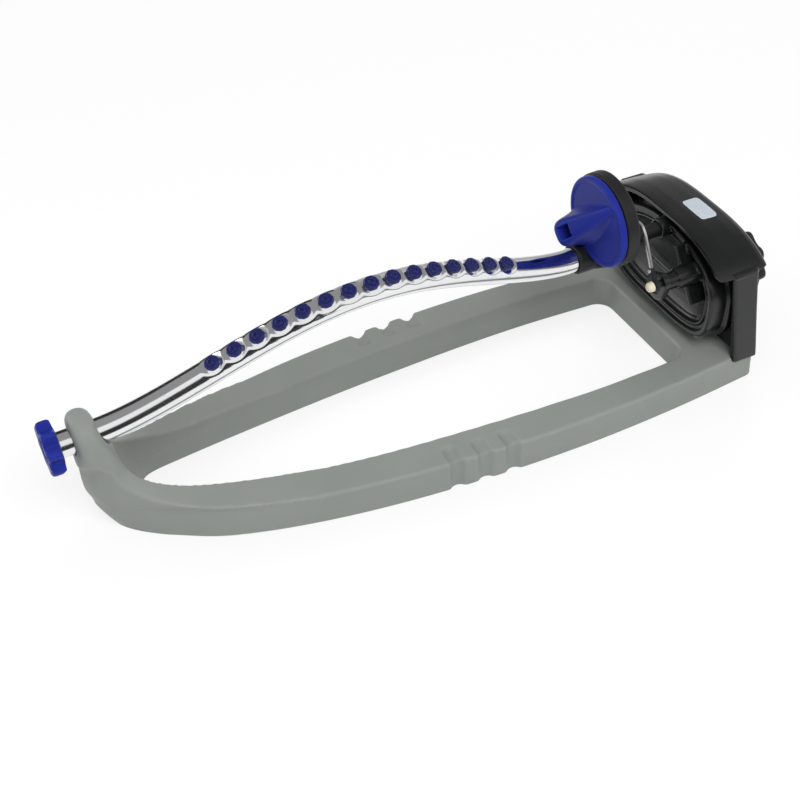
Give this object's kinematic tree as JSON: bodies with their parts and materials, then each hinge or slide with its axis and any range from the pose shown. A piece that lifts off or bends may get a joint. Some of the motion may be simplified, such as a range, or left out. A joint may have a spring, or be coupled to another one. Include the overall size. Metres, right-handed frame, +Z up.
{
  "type": "oscillating lawn sprinkler",
  "caption": "Oscillating lawn sprinkler with an arched metal spray tube, a range dial, and a water motor on an open plastic base.",
  "frame": {"origin": "centre of the bounding box's base, on the ground", "axes": "+Z up, +X along the base from the tube's end cap to the hose nut, +Y to the left looking along +X"},
  "size_m": [0.4436, 0.1342, 0.1365],
  "materials": {
    "base_plastic": "satin grey, faintly green, fine moulded grain",
    "tube_aluminium": "polished, with fine drawing lines",
    "nozzle_blue": "glossy soft plastic",
    "blue_plastic": "satin moulded",
    "black_plastic": "glossy moulded",
    "cream_plastic": "satin",
    "ivory_plastic": "satin",
    "seal_rubber": "matt",
    "steel": "zinc plated"
  },
  "bodies": {
    "stand": {"base_frame": "base_plastic", "front_bearing_bush": "black_plastic", "motor_front_case": "black_plastic", "motor_rear_case": "black_plastic", "hood": "black_plastic", "inlet_filter": "ivory_plastic", "inlet_washer": "seal_rubber"},
    "tube": {"spray_tube": "tube_aluminium", "nozzle_01": "nozzle_blue", "nozzle_02": "nozzle_blue", "nozzle_03": "nozzle_blue", "nozzle_04": "nozzle_blue", "nozzle_05": "nozzle_blue", "nozzle_06": "nozzle_blue", "nozzle_07": "nozzle_blue", "nozzle_08": "nozzle_blue", "nozzle_09": "nozzle_blue", "nozzle_10": "nozzle_blue", "nozzle_11": "nozzle_blue", "nozzle_12": "nozzle_blue", "nozzle_13": "nozzle_blue", "nozzle_14": "nozzle_blue", "nozzle_15": "nozzle_blue", "end_cap_seal": "seal_rubber", "tube_seal": "seal_rubber", "swing_drum": "black_plastic"},
    "cap": {"end_cap": "blue_plastic"},
    "dial": {"range_dial": "blue_plastic"},
    "crank": {"crank_arm": "black_plastic", "crank_pin_cap": "cream_plastic"},
    "link": {"drive_link": "steel"},
    "hose_nut": {"hose_nut": "black_plastic"}
  },
  "joints": [
    {"name": "tube_swing", "type": "hinge", "parent": "stand", "child": "tube", "pos_m": [-0.19615, 0, 0.06161], "axis": [0.9985, 0, 0.0555], "range_deg": [-62, 18]},
    {"name": "dial_turn", "type": "hinge", "parent": "tube", "child": "dial", "pos_m": [0.09567, -0.01259, 0.10902], "axis": [0.9985, 0, 0.0555], "range_deg": [0, 180]},
    {"name": "cap_unscrew", "type": "hinge", "parent": "tube", "child": "cap", "pos_m": [-0.21612, 0, 0.0605], "axis": [0.9985, 0, 0.0555], "continuous": true},
    {"name": "crank_turn", "type": "hinge", "parent": "stand", "child": "crank", "pos_m": [0.12912, -0.0299, 0.06566], "axis": [0.9985, 0, 0.0555], "range_deg": [-94, 28]},
    {"name": "link_pivot", "type": "hinge", "parent": "crank", "child": "link", "pos_m": [0.12257, -0.03585, 0.07179], "axis": [0.9985, 0, 0.0555], "range_deg": [-27, 90]},
    {"name": "nut_spin", "type": "hinge", "parent": "stand", "child": "hose_nut", "pos_m": [0.20985, 0, 0.036], "axis": [1, 0, 0], "continuous": true}
  ],
  "couplings": [
    {"joint": "crank_turn", "follows": "tube_swing", "ratio": 1.5},
    {"joint": "link_pivot", "follows": "tube_swing", "ratio": -1.425}
  ]
}
